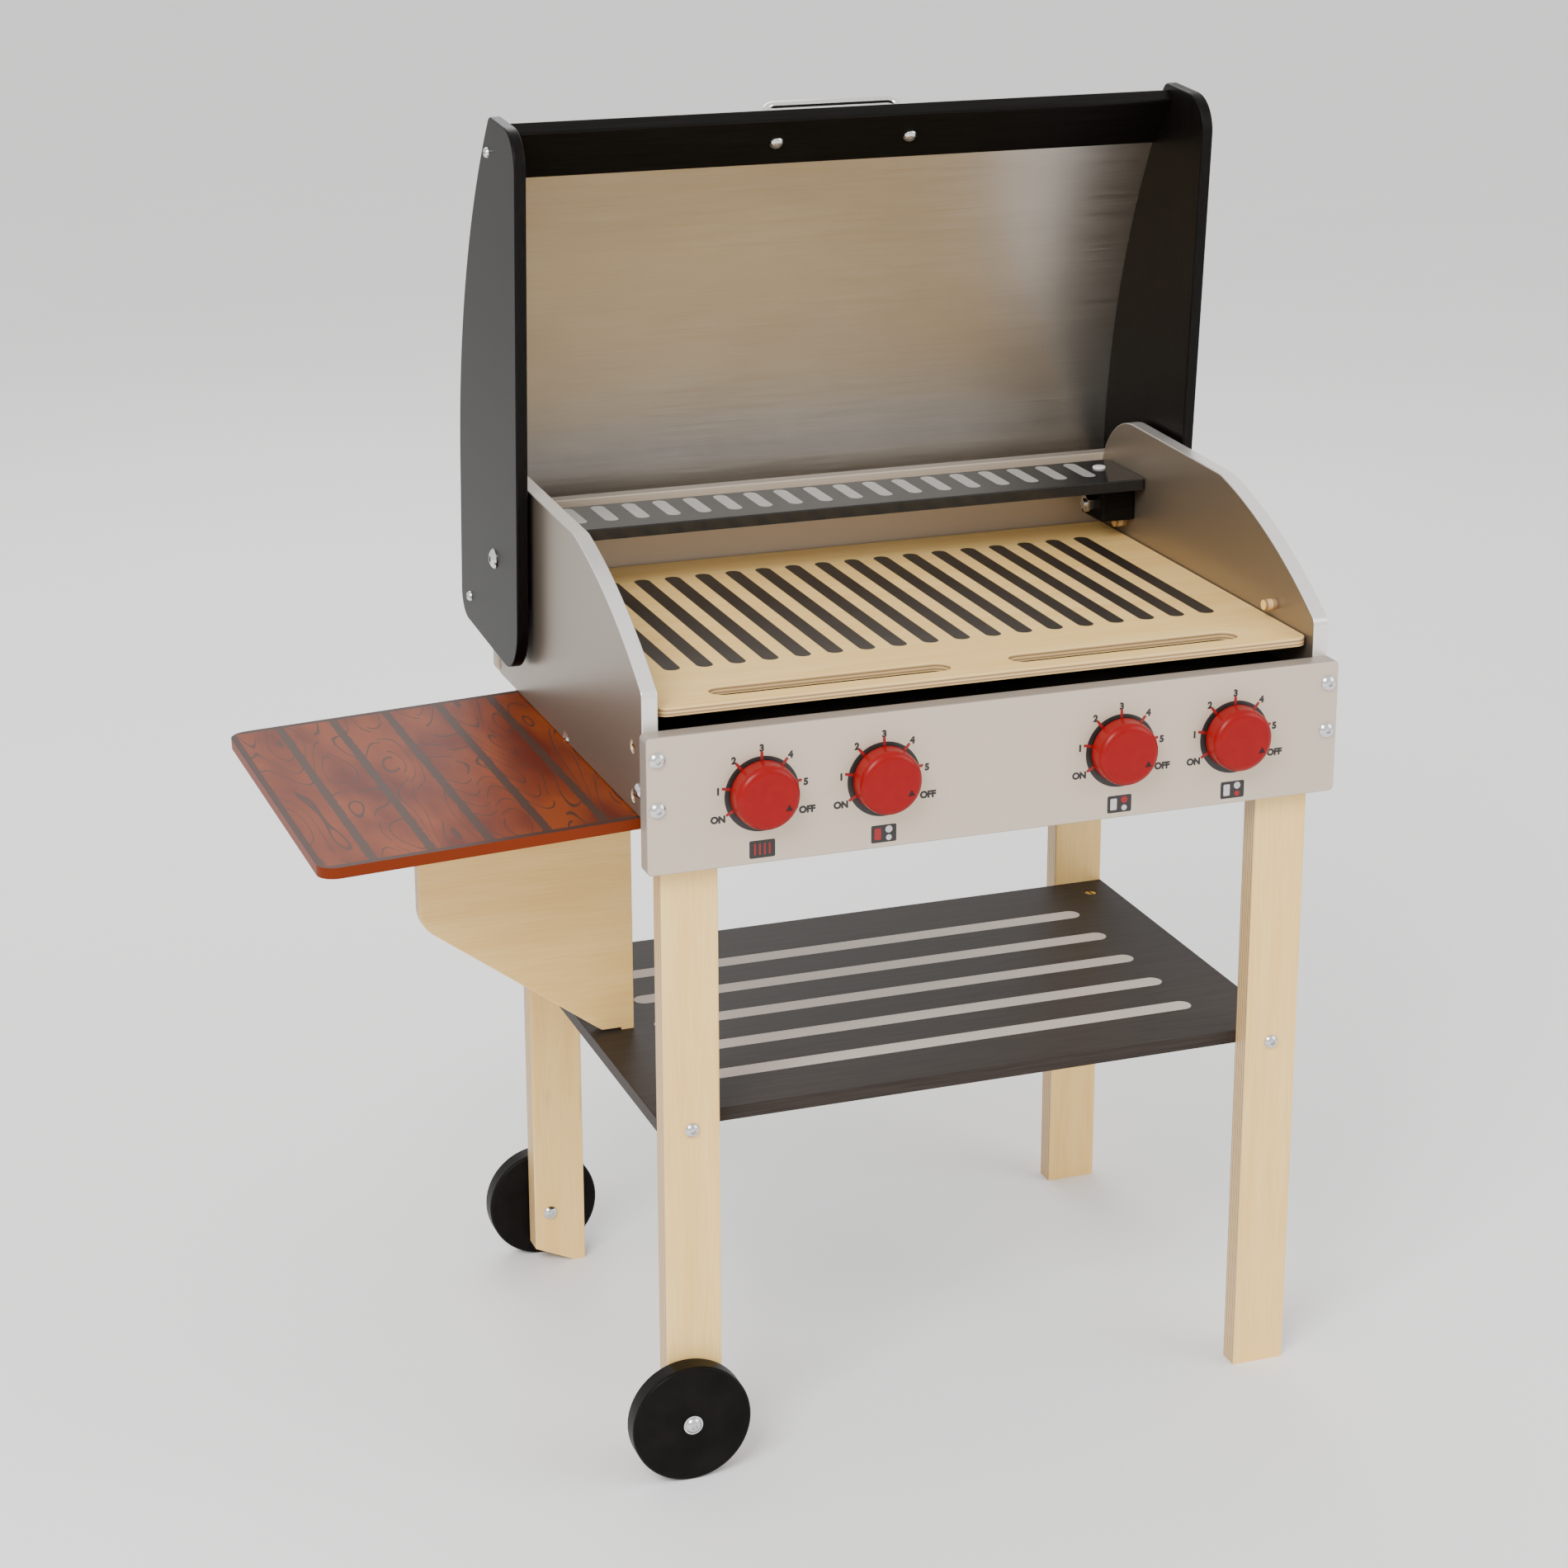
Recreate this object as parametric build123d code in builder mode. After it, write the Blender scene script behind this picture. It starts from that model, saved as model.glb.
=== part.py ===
from build123d import *
import os
from math import cos, radians, sin, sqrt

# Toy barbecue grill on a four-legged stand. Millimetres: X to the right along the front
# panel, Y to the rear, Z up. X = 0 is the middle of the box, Y = 0 the front panel's face,
# Z = 0 the floor. The lid stands open and the four knobs point at OFF.

# Driving sizes
box_w = 530.0            # front and back panels
panel_t = 15.0
panel_z0, panel_z1 = 469.0, 569.0
plate_t = 12.0           # side plates, set in 2 mm behind the panel ends
plate_x = box_w / 2 - 2  # outer face of a side plate
plate_y0, plate_y1 = panel_t, 384.0
plate_z0, plate_top = 505.0, 675.0
back_t, back_z1 = 12.0, 640.0
leg_w, leg_t = 42.0, 18.0
leg_top = 545.0
shelf_t, shelf_z1 = 10.0, 273.0
tray_t = 8.0
grate_t, grate_z0 = 6.5, 576.0
grate_y0, grate_y1 = 20.0, 382.0
rack_t, rack_z1 = 9.0, 637.0
rack_y0, rack_y1 = 300.0, 372.0
table_l, table_d, table_t = 236.0, 315.0, 8.0
table_y0 = 23.0
table_droop = 2.5        # degrees that the table hangs at its free end
bracket_t, bracket_y0 = 12.0, 196.0
wheel_d, wheel_t = 90.0, 17.0
wheel_x = -238.0
knob_d, knob_h = 48.0, 16.0
knob_x = (-181.5, -91.0, 91.0, 181.5)
knob_z = 521.0
knob_off = 118.0         # degrees from the top mark to OFF
pivot_y, pivot_z = 338.0, 611.0
lid_open = 86.0          # degrees from closed to standing open
cheek_t = 9.0
cheek_x = box_w / 2 + 3  # inner face of a lid cheek
handle_pitch, handle_rise, handle_d = 108.0, 26.0, 6.0
bolt_d, bolt_play = 6.0, 0.1
peg_d, peg_reach = 8.0, 10.0
peg_y = (76.0, 338.0)

# Sizes that follow
plate_in = plate_x - plate_t
leg_x = plate_in - leg_w / 2
leg_fy = plate_y0 + leg_t / 2
leg_ry = plate_y1 - leg_t / 2
nut_back = 21.5          # barrel nut behind the joint face
panel_bolt_z = (516.5, 552.5)
back_bolt_z = (530.0, 590.0)
leg_bolt_z = 524.0
shelf_y0, shelf_y1 = plate_y0 + leg_t, plate_y1 - leg_t
shelf_mid = shelf_z1 - shelf_t / 2
axle_z = wheel_d / 2

# The files' origin is on the floor under the middle of the whole outline, table included
row_origin = (-103.19, 212.34, 0.0)

os.makedirs("parts", exist_ok=True)
made = []


def save(part, node):
    """Bring one sub-part to the files' origin, name it and write its STEP file."""
    part = Pos(*row_origin).inverse() * part
    part.label = node
    export_step(part, f"parts/{node}.step")
    made.append((node, len(part.solids())))


def at(x, y, z, direction):
    """A frame at a point whose Z runs along a direction: where a fastener sits."""
    return Plane(origin=(x, y, z), z_dir=direction).location


def button_bolt(length, d=bolt_d, head_d=12.0, head_h=3.2, socket=4.0):
    """Button head with a hex socket; the shank runs along -Z from the seat at Z = 0."""
    with BuildPart() as bolt:
        with BuildSketch(Plane.XZ):
            with BuildLine():
                Line((0, 0), (head_d / 2, 0))
                Line((head_d / 2, 0), (head_d / 2, 0.7))
                ThreePointArc((head_d / 2, 0.7), (head_d * 0.37, head_h * 0.76), (head_d * 0.22, head_h))
                Line((head_d * 0.22, head_h), (0, head_h))
                Line((0, head_h), (0, 0))
            make_face()
        revolve(axis=Axis.Z)
        with BuildSketch(Plane.XY.offset(head_h)):
            RegularPolygon(socket / 2, 6, major_radius=False)
        extrude(amount=-2.0, mode=Mode.SUBTRACT)
        Cylinder(d / 2, length, align=(Align.CENTER, Align.CENTER, Align.MAX))
        chamfer(bolt.edges().group_by(Axis.Z)[0], 0.6)
    return bolt.part


def pan_screw(length, d=4.0, head_d=8.0, head_h=2.6):
    """Pan head with a cross recess, the shank tapering to a point along -Z."""
    with BuildPart() as screw:
        with BuildSketch(Plane.XZ):
            with BuildLine():
                Polyline((0, head_h), (0, 0.3 - length), (0.3, 0.3 - length), (d / 2, d - length),
                         (d / 2, 0), (head_d / 2, 0))
                ThreePointArc((head_d / 2, 0), (head_d * 0.42, head_h * 0.66), (head_d * 0.3, head_h))
                Line((head_d * 0.3, head_h), (0, head_h))
            make_face()
        revolve(axis=Axis.Z)
        with BuildSketch(Plane.XY.offset(head_h)):
            Rectangle(head_d * 0.5, head_d * 0.12)
            Rectangle(head_d * 0.12, head_d * 0.5)
        extrude(amount=-1.2, mode=Mode.SUBTRACT)
    return screw.part


def flat_screw(length, d=4.0, head_d=7.6):
    """Countersunk screw with its flat head at Z = 0 and its shank along -Z."""
    with BuildPart() as screw:
        with BuildSketch(Plane.XZ):
            with BuildLine():
                Polyline((0, 0), (head_d / 2, 0), (d / 2, -(head_d - d) / 2), (d / 2, 4 - length),
                         (0, -length), (0, 0))
            make_face()
        revolve(axis=Axis.Z)
    return screw.part


def barrel_nut(length, d=10.0, bore=bolt_d + bolt_play):
    """Cross dowel along Z with a screwdriver slot in its +Z end and a bore along X."""
    with BuildPart() as nut:
        Cylinder(d / 2, length)
        chamfer(nut.edges().group_by(Axis.Z)[-1], 0.4)
        with BuildSketch(Plane.XY.offset(length / 2)):
            Rectangle(d * 0.8, 1.4)
        extrude(amount=-1.5, mode=Mode.SUBTRACT)
        with Locations(Rotation(0, 90, 0)):
            Hole(bore / 2)
    return nut.part


def hex_nut(d, across, height):
    """Plain nut with its seat at Z = 0 and its faces chamfered."""
    with BuildPart() as nut:
        with BuildSketch():
            RegularPolygon(across / 2, 6, major_radius=False)
        extrude(amount=height)
        Cone(across / 2 + height + 0.6, across / 2 + 0.6, height, mode=Mode.INTERSECT,
             align=(Align.CENTER, Align.CENTER, Align.MIN))
        Hole(d / 2)
    return nut.part


def washer(d, outer, t):
    """Flat washer with its seat at Z = 0."""
    with BuildPart() as ring:
        Cylinder(outer / 2, t, align=(Align.CENTER, Align.CENTER, Align.MIN))
        Hole(d / 2)
    return ring.part


def nearest_edge(body, y, z):
    """The edge along X that passes nearest a point of the YZ plane: a corner to round."""
    return body.edges().filter_by(Axis.X).sort_by(
        lambda e: (e.center().Y - y) ** 2 + (e.center().Z - z) ** 2)[0]


def side_plate(side):
    """Box side of plywood, its top sloped down to the front in one long curve."""
    inner = Plane.YZ.offset(side * plate_in)
    with BuildPart() as plate:
        with BuildSketch(inner):
            with BuildLine():
                Polyline((plate_y1, 632), (plate_y1, plate_z0), (plate_y0, plate_z0), (plate_y0, 596))
                ThreePointArc((plate_y0, 596), (93, 642.5), (172, 670))
                Line((172, 670), (325, plate_top))
                ThreePointArc((325, plate_top), (366, 661), (plate_y1, 632))
            make_face()
        extrude(amount=side * plate_t)
        fillet(nearest_edge(plate, plate_y0, 596), 7)
        fillet(nearest_edge(plate, 172, 670), 35)
        fillet(plate.faces().filter_by(Axis.X).edges(), 1.0)
        # Bolt bores from both ends and the cross holes of their barrel nuts
        for y, inward, heights in ((plate_y0, 1, panel_bolt_z), (plate_y1, -1, back_bolt_z)):
            for z in heights:
                with Locations(at(side * (plate_in + plate_t / 2), y + inward * nut_back / 2, z, (0, inward, 0))):
                    Cylinder(bolt_d / 2 + 0.2, nut_back + 14, mode=Mode.SUBTRACT)
                with Locations(at(side * (plate_x - 5.6), y + inward * nut_back, z, (1, 0, 0))):
                    Cylinder(5.1, 11.4, mode=Mode.SUBTRACT)
        # Leg bolts, lid pivot and peg holes
        for y in (leg_fy, leg_ry):
            with Locations(at(side * plate_in, y, leg_bolt_z, (1, 0, 0))):
                Cylinder(bolt_d / 2 + 0.2, 4 * plate_t, mode=Mode.SUBTRACT)
        with Locations(at(side * plate_in, pivot_y, pivot_z, (1, 0, 0))):
            Cylinder(4.05, 4 * plate_t, mode=Mode.SUBTRACT)
        for y in peg_y:
            for z in (grate_z0 - peg_d / 2 - 0.1, 593.0):
                with Locations(at(side * (plate_in + 4), y, z, (1, 0, 0))):
                    Cylinder(peg_d / 2 + 0.05, 8.4, mode=Mode.SUBTRACT)
        if side < 0:
            # Relief in the bottom edge over the table bolt's head
            with Locations(at(-plate_in - plate_t / 2, bracket_y0 + bracket_t / 2, plate_z0, (1, 0, 0))):
                Cylinder(8.0, plate_t + 2, mode=Mode.SUBTRACT)
    return plate.part


save(side_plate(-1), "side_plate_left")
save(side_plate(1), "side_plate_right")

with BuildPart() as front_panel:
    with BuildSketch(Plane.XZ):
        with Locations((0, (panel_z0 + panel_z1) / 2)):
            RectangleRounded(box_w, panel_z1 - panel_z0, 4)
    extrude(amount=-panel_t)
    fillet(front_panel.faces().filter_by(Axis.Y).edges(), 1.2)
    for x in (-plate_x + plate_t / 2, plate_x - plate_t / 2):
        for z in panel_bolt_z:
            with Locations(at(x, 0, z, (0, 1, 0))):
                Cylinder(bolt_d / 2 + 0.2, 4 * panel_t, mode=Mode.SUBTRACT)
    for x in knob_x:
        with Locations(at(x, 0, knob_z, (0, 1, 0))):
            Cylinder(4.05, 4 * panel_t, mode=Mode.SUBTRACT)
save(front_panel.part, "front_panel")

with BuildPart() as back_panel:
    with BuildSketch(Plane.XZ.offset(-plate_y1)):
        with Locations((0, (plate_z0 + back_z1) / 2)):
            RectangleRounded(box_w, back_z1 - plate_z0, 6)
    extrude(amount=-back_t)
    fillet(back_panel.faces().filter_by(Axis.Y).edges(), 1.2)
    for x in (-plate_x + plate_t / 2, plate_x - plate_t / 2):
        for z in back_bolt_z:
            with Locations(at(x, plate_y1, z, (0, 1, 0))):
                Cylinder(bolt_d / 2 + 0.2, 4 * back_t, mode=Mode.SUBTRACT)
save(back_panel.part, "back_panel")

with BuildPart() as panel_bolts:
    for x in (-plate_x + plate_t / 2, plate_x - plate_t / 2):
        for z in panel_bolt_z:
            with Locations(at(x, 0, z, (0, -1, 0))):
                add(button_bolt(panel_t + nut_back + 5))
        for z in back_bolt_z:
            with Locations(at(x, plate_y1 + back_t, z, (0, 1, 0))):
                add(button_bolt(back_t + nut_back + 5))
save(panel_bolts.part, "panel_bolts")

with BuildPart() as panel_barrel_nuts:
    for side in (-1, 1):
        for y, heights in ((plate_y0 + nut_back, panel_bolt_z), (plate_y1 - nut_back, back_bolt_z)):
            for z in heights:
                place = Plane(origin=(side * (plate_x - plate_t / 2), y, z), x_dir=(0, 1, 0), z_dir=(side, 0, 0))
                with Locations(place.location):
                    add(barrel_nut(10.4))
save(panel_barrel_nuts.part, "panel_barrel_nuts")

with BuildPart() as base_tray:
    # Black board that lies on the leg tops and closes the box below the grate
    with BuildSketch(Plane.XY.offset(leg_top)):
        with Locations((0, (plate_y0 + plate_y1) / 2)):
            Rectangle(2 * plate_in - 1, plate_y1 - plate_y0 - 1)
    extrude(amount=tray_t)
    with Locations(*[(sx * leg_x, y, leg_top + tray_t) for sx in (-1, 1) for y in (leg_fy, leg_ry)]):
        CounterSinkHole(2.1, 4.2, depth=3 * tray_t, counter_sink_angle=90)
save(base_tray.part, "base_tray")

with BuildPart() as tray_screws:
    for sx in (-1, 1):
        for y in (leg_fy, leg_ry):
            with Locations((sx * leg_x, y, leg_top + tray_t - 0.3)):
                add(flat_screw(20))
save(tray_screws.part, "tray_screws")


def leg(side, rear):
    """Plywood leg; the two on the wheel side are cut back at the foot to tip on the wheels."""
    y = leg_ry if rear else leg_fy
    with BuildPart() as post:
        with BuildSketch(Plane.XY):
            with Locations((side * leg_x, y)):
                RectangleRounded(leg_w, leg_t, 1.2)
        extrude(amount=leg_top)
        if side < 0:
            with BuildSketch(Plane.XZ.offset(-y)):
                with BuildLine():
                    Polyline((-plate_in - 1, -1), (-plate_in - 1, 15), (-plate_in + 32, 0), (-plate_in + 32, -1),
                             close=True)
                make_face()
            extrude(amount=leg_t, both=True, mode=Mode.SUBTRACT)
            with Locations(at(wheel_x, y, axle_z, (0, 1, 0))):
                Cylinder(4.05, 2 * leg_t, mode=Mode.SUBTRACT)
        # Shelf bolt along Y, leg bolt along X into an insert nut, tray screw from the top
        with Locations(at(side * leg_x, y, shelf_mid, (0, 1, 0))):
            Cylinder(bolt_d / 2 + 0.2, 2 * leg_t, mode=Mode.SUBTRACT)
        with Locations(at(side * (plate_in - 15), y, leg_bolt_z, (1, 0, 0))):
            Cylinder(bolt_d / 2 + 0.2, 32, mode=Mode.SUBTRACT)
        with Locations(at(side * (plate_in - 6.5), y, leg_bolt_z, (1, 0, 0))):
            Cylinder(4.6, 13.2, mode=Mode.SUBTRACT)
        with Locations((side * leg_x, y, leg_top)):
            Hole(2.05, depth=14)
    return post.part


for side, hand in ((-1, "left"), (1, "right")):
    for rear, end in ((False, "front"), (True, "rear")):
        save(leg(side, rear), f"leg_{end}_{hand}")

with BuildPart() as leg_bolts:
    for side in (-1, 1):
        for y in (leg_fy, leg_ry):
            with Locations(at(side * plate_x, y, leg_bolt_z, (side, 0, 0))):
                add(button_bolt(plate_t + 20, head_d=10.5, head_h=2.8))
save(leg_bolts.part, "leg_bolts")

with BuildPart() as leg_insert_nuts:
    for side in (-1, 1):
        for y in (leg_fy, leg_ry):
            with Locations(at(side * (plate_in - 0.2), y, leg_bolt_z, (-side, 0, 0))):
                add(washer(bolt_d + bolt_play, 9.0, 12.5))
save(leg_insert_nuts.part, "leg_insert_nuts")

# Shelf between the legs, bolted through each leg into a barrel nut
shelf_nut_y = (shelf_y0 + 26, shelf_y1 - 26)
with BuildPart() as shelf:
    with BuildSketch(Plane.XY.offset(shelf_z1 - shelf_t)):
        with Locations((0, (shelf_y0 + shelf_y1) / 2)):
            Rectangle(2 * plate_in, shelf_y1 - shelf_y0)
    extrude(amount=shelf_t)
    fillet(shelf.faces().sort_by(Axis.Z)[-1].edges(), 0.8)
    for side in (-1, 1):
        for y, nut_y in ((shelf_y0, shelf_nut_y[0]), (shelf_y1, shelf_nut_y[1])):
            with Locations(at(side * leg_x, (y + nut_y) / 2, shelf_mid, (0, 1, 0))):
                Cylinder(bolt_d / 2 + 0.2, abs(nut_y - y) + 14, mode=Mode.SUBTRACT)
        for y, shift in zip(shelf_nut_y, (-0.4, 0.4)):
            with Locations((side * leg_x, y, shelf_mid + shift)):
                Cylinder(5.1, 10.0, mode=Mode.SUBTRACT)
    with Locations((-234.0, bracket_y0 + bracket_t / 2, shelf_mid)):
        Cylinder(2.1, 3 * shelf_t, mode=Mode.SUBTRACT)
save(shelf.part, "shelf")

with BuildPart() as shelf_bolts:
    for side in (-1, 1):
        with Locations(at(side * leg_x, plate_y0, shelf_mid, (0, -1, 0))):
            add(button_bolt(leg_t + 31, head_d=11.0))
        with Locations(at(side * leg_x, plate_y1, shelf_mid, (0, 1, 0))):
            add(button_bolt(leg_t + 31, head_d=11.0))
save(shelf_bolts.part, "shelf_bolts")

with BuildPart() as shelf_barrel_nuts:
    for side in (-1, 1):
        for y, up in zip(shelf_nut_y, (-1, 1)):
            place = Plane(origin=(side * leg_x, y, shelf_mid), x_dir=(0, 1, 0), z_dir=(0, 0, up))
            with Locations(place.location):
                add(barrel_nut(9.0))
save(shelf_barrel_nuts.part, "shelf_barrel_nuts")

# Cooking board: rounded front corners, two finger slots
with BuildPart() as grate_board:
    with BuildSketch(Plane.XY.offset(grate_z0)):
        with Locations((0, (grate_y0 + grate_y1) / 2)):
            Rectangle(2 * plate_in - 2, grate_y1 - grate_y0)
        with Locations((-113.5, 46), (113.5, 46)):
            SlotOverall(181, 20, mode=Mode.SUBTRACT)
    extrude(amount=grate_t)
    fillet(grate_board.edges().filter_by(Axis.Z).group_by(Axis.Y)[0], 9)
    fillet(grate_board.faces().filter_by(Axis.Z).edges(), 0.8)
save(grate_board.part, "grate_board")

with BuildPart() as grate_pegs:
    # Dowel pegs glued in the side plates: two under the grate and two above it, each side
    for side in (-1, 1):
        for y in peg_y:
            for z in (grate_z0 - peg_d / 2 - 0.1, 593.0):
                with Locations(at(side * (plate_in + 8), y, z, (-side, 0, 0))):
                    Cylinder(peg_d / 2, peg_reach + 8, align=(Align.CENTER, Align.CENTER, Align.MIN))
    fillet(grate_pegs.edges().filter_by(GeomType.CIRCLE).filter_by(
        lambda e: abs(e.center().X) < plate_in - 5), 0.8)
save(grate_pegs.part, "grate_pegs")

# Warming rack across the rear on two blocks that also take the lid pivots
block_w, block_y0, block_y1, block_z0 = 30.0, 318.0, 358.0, 599.0
block_z1 = rack_z1 - rack_t


def rack_block(side):
    """Block under a rack end: the pivot bolt runs through it, the rack screw comes from above."""
    with BuildPart() as block:
        with BuildSketch(Plane.XY.offset(block_z0)):
            with Locations((side * (plate_in - block_w / 2), (block_y0 + block_y1) / 2)):
                RectangleRounded(block_w, block_y1 - block_y0, 3)
        extrude(amount=block_z1 - block_z0)
        chamfer(block.faces().sort_by(Axis.Z)[0].edges(), 1.0)
        with Locations(at(side * plate_in, pivot_y, pivot_z, (1, 0, 0))):
            Cylinder(4.05, 4 * block_w, mode=Mode.SUBTRACT)
        with Locations((side * (plate_in - 20), pivot_y + 8, block_z1)):
            Hole(2.1, depth=22)
    return block.part


save(rack_block(-1), "rack_block_left")
save(rack_block(1), "rack_block_right")

with BuildPart() as rack_board:
    with BuildSketch(Plane.XY.offset(rack_z1 - rack_t)):
        with Locations((0, (rack_y0 + rack_y1) / 2)):
            RectangleRounded(2 * plate_in - 1, rack_y1 - rack_y0, 3)
    extrude(amount=rack_t)
    fillet(rack_board.faces().sort_by(Axis.Z)[-1].edges(), 1.0)
    with Locations(*[(s * (plate_in - 20), pivot_y + 8, rack_z1) for s in (-1, 1)]):
        CounterBoreHole(2.1, 4.4, 3.2)
save(rack_board.part, "rack_board")

with BuildPart() as rack_screws:
    for s in (-1, 1):
        with Locations((s * (plate_in - 20), pivot_y + 8, rack_z1 - 3.2)):
            add(pan_screw(26))
save(rack_screws.part, "rack_screws")

with BuildPart() as rack_screw_caps:
    # Round plastic caps pressed over the rack screws
    for s in (-1, 1):
        with Locations((s * (plate_in - 20), pivot_y + 8, rack_z1)):
            Cylinder(5.3, 1.6, align=(Align.CENTER, Align.CENTER, Align.MIN))
    fillet(rack_screw_caps.faces().group_by(Axis.Z)[-1].edges(), 1.0)
save(rack_screw_caps.part, "rack_screw_caps")

# Side table on its plywood bracket, hung a little at the free end
droop_c, droop_s = cos(radians(table_droop)), sin(radians(table_droop))
table_top = Plane(origin=(-plate_in - 0.3, 0, plate_z0 - 0.1), x_dir=(-droop_c, 0, -droop_s),
                  z_dir=(-droop_s, 0, droop_c))
bracket_mid = bracket_y0 + bracket_t / 2
table_bolt_x = -plate_in - plate_t / 2
with BuildPart() as side_table:
    # In this frame X runs out along the board and Y to the front
    with BuildSketch(table_top):
        with Locations((table_l / 2, -(table_y0 + table_d / 2))):
            Rectangle(table_l, table_d)
    extrude(amount=-table_t)
    fillet(side_table.edges().filter_by(GeomType.LINE).filter_by(
        lambda e: abs((e % 0).Y) < 0.1 and abs((e % 0).Z) > 0.9).group_by(Axis.X)[0], 14)
    fillet(side_table.faces().sort_by(Axis.Z)[-1].edges(), 1.5)
    with Locations((table_bolt_x, bracket_mid, plate_z0 - table_t / 2)):
        Cylinder(bolt_d / 2 + 0.3, 4 * table_t, mode=Mode.SUBTRACT)
save(side_table.part, "side_table")

with BuildPart() as table_bracket:
    # Stands on the shelf under the box edge and reaches out below the table
    x_in, x_out = -216.0, -379.0
    under = plate_z0 - 0.1 - table_t / droop_c - 0.15
    top_in = under - 0.0
    top_out = under - (-plate_in - x_out) * droop_s / droop_c
    with BuildSketch(Plane.XZ.offset(-bracket_y0)):
        with BuildLine():
            Polyline((x_in, shelf_z1 + 0.05), (x_in - 10, shelf_z1 + 0.05), (x_in - 10, shelf_z1 + 2),
                     (-242, shelf_z1 + 2), (x_out, 376), (x_out, top_out), (-plate_in, top_in),
                     (x_in, top_in), close=True)
        make_face()
    extrude(amount=-bracket_t)
    fillet(table_bracket.edges().filter_by(Axis.Y).sort_by(
        lambda e: (e.center().X - x_out) ** 2 + (e.center().Z - 376) ** 2)[0], 24)
    fillet(table_bracket.edges().filter_by(Axis.Z), 1.0)
    with Locations((table_bolt_x, bracket_mid, under)):
        Cylinder(bolt_d / 2 + 0.2, 70, mode=Mode.SUBTRACT)
    with Locations(at(table_bolt_x, bracket_mid, under - nut_back, (0, 1, 0))):
        Cylinder(5.1, 2 * bracket_t, mode=Mode.SUBTRACT)
    with Locations((-234.0, bracket_mid, shelf_z1)):
        Cylinder(2.05, 52, mode=Mode.SUBTRACT)
save(table_bracket.part, "table_bracket")

with BuildPart() as table_bolt:
    with Locations((table_bolt_x, bracket_mid, plate_z0 + 0.3)):
        add(button_bolt(table_t + nut_back + 7))
save(table_bolt.part, "table_bolt")

with BuildPart() as table_barrel_nut:
    place = Plane(origin=(table_bolt_x, bracket_mid, under - nut_back), x_dir=(0, 0, 1), z_dir=(0, -1, 0))
    with Locations(place.location):
        add(barrel_nut(bracket_t - 0.6))
save(table_barrel_nut.part, "table_barrel_nut")

with BuildPart() as bracket_screw:
    with Locations(at(-234.0, bracket_mid, shelf_z1 - shelf_t, (0, 0, -1))):
        add(pan_screw(34))
save(bracket_screw.part, "bracket_screw")

# Wheels of black plywood on through bolts, one before the front leg and one behind the rear
wheel_gap = 1.5
wheel_front_y = plate_y0 - wheel_gap - wheel_t
wheel_rear_y = plate_y1 + wheel_gap


def wheel(y0):
    """Disc turned with rounded rims and a shallow turned groove on each face."""
    with BuildPart() as disc:
        with BuildSketch(Plane.YZ.offset(wheel_x)):
            with Locations((y0 + wheel_t / 2, axle_z + wheel_d / 4 + 4.05 / 2)):
                Rectangle(wheel_t, wheel_d / 2 - 4.05)
        revolve(axis=Axis((wheel_x, 0, axle_z), (0, 1, 0)))
        fillet(disc.edges().filter_by(GeomType.CIRCLE).filter_by(lambda e: e.radius > wheel_d / 3), 2.5)
    return disc.part


save(wheel(wheel_front_y), "wheel_front")
save(wheel(wheel_rear_y), "wheel_rear")

with BuildPart() as axle_bolts:
    # Front: head outside the wheel. Rear: head on the leg's front face
    with Locations(at(wheel_x, wheel_front_y - 1.4, axle_z, (0, -1, 0))):
        add(button_bolt(wheel_t + leg_t + 12, d=8.0, head_d=11.5, head_h=3.0, socket=4.5))
    with Locations(at(wheel_x, plate_y1 - leg_t, axle_z, (0, -1, 0))):
        add(button_bolt(wheel_t + leg_t + 12, d=8.0, head_d=11.5, head_h=3.0, socket=4.5))
save(axle_bolts.part, "axle_bolts")

with BuildPart() as axle_washers:
    for y, t in ((wheel_front_y - 1.35, 1.25), (plate_y0 - 1.4, 1.3), (plate_y1 + 0.1, 1.3),
                 (wheel_rear_y + wheel_t + 0.1, 1.25)):
        with Locations(at(wheel_x, y, axle_z, (0, 1, 0))):
            add(washer(8.1, 14.5 if t < 1.3 else 18.0, t))
save(axle_washers.part, "axle_washers")

with BuildPart() as axle_nuts:
    for y in (plate_y0 + leg_t + 0.05, wheel_rear_y + wheel_t + 1.4):
        with Locations(at(wheel_x, y, axle_z, (0, 1, 0))):
            add(hex_nut(8.06, 13.0, 6.5))
save(axle_nuts.part, "axle_nuts")

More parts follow.
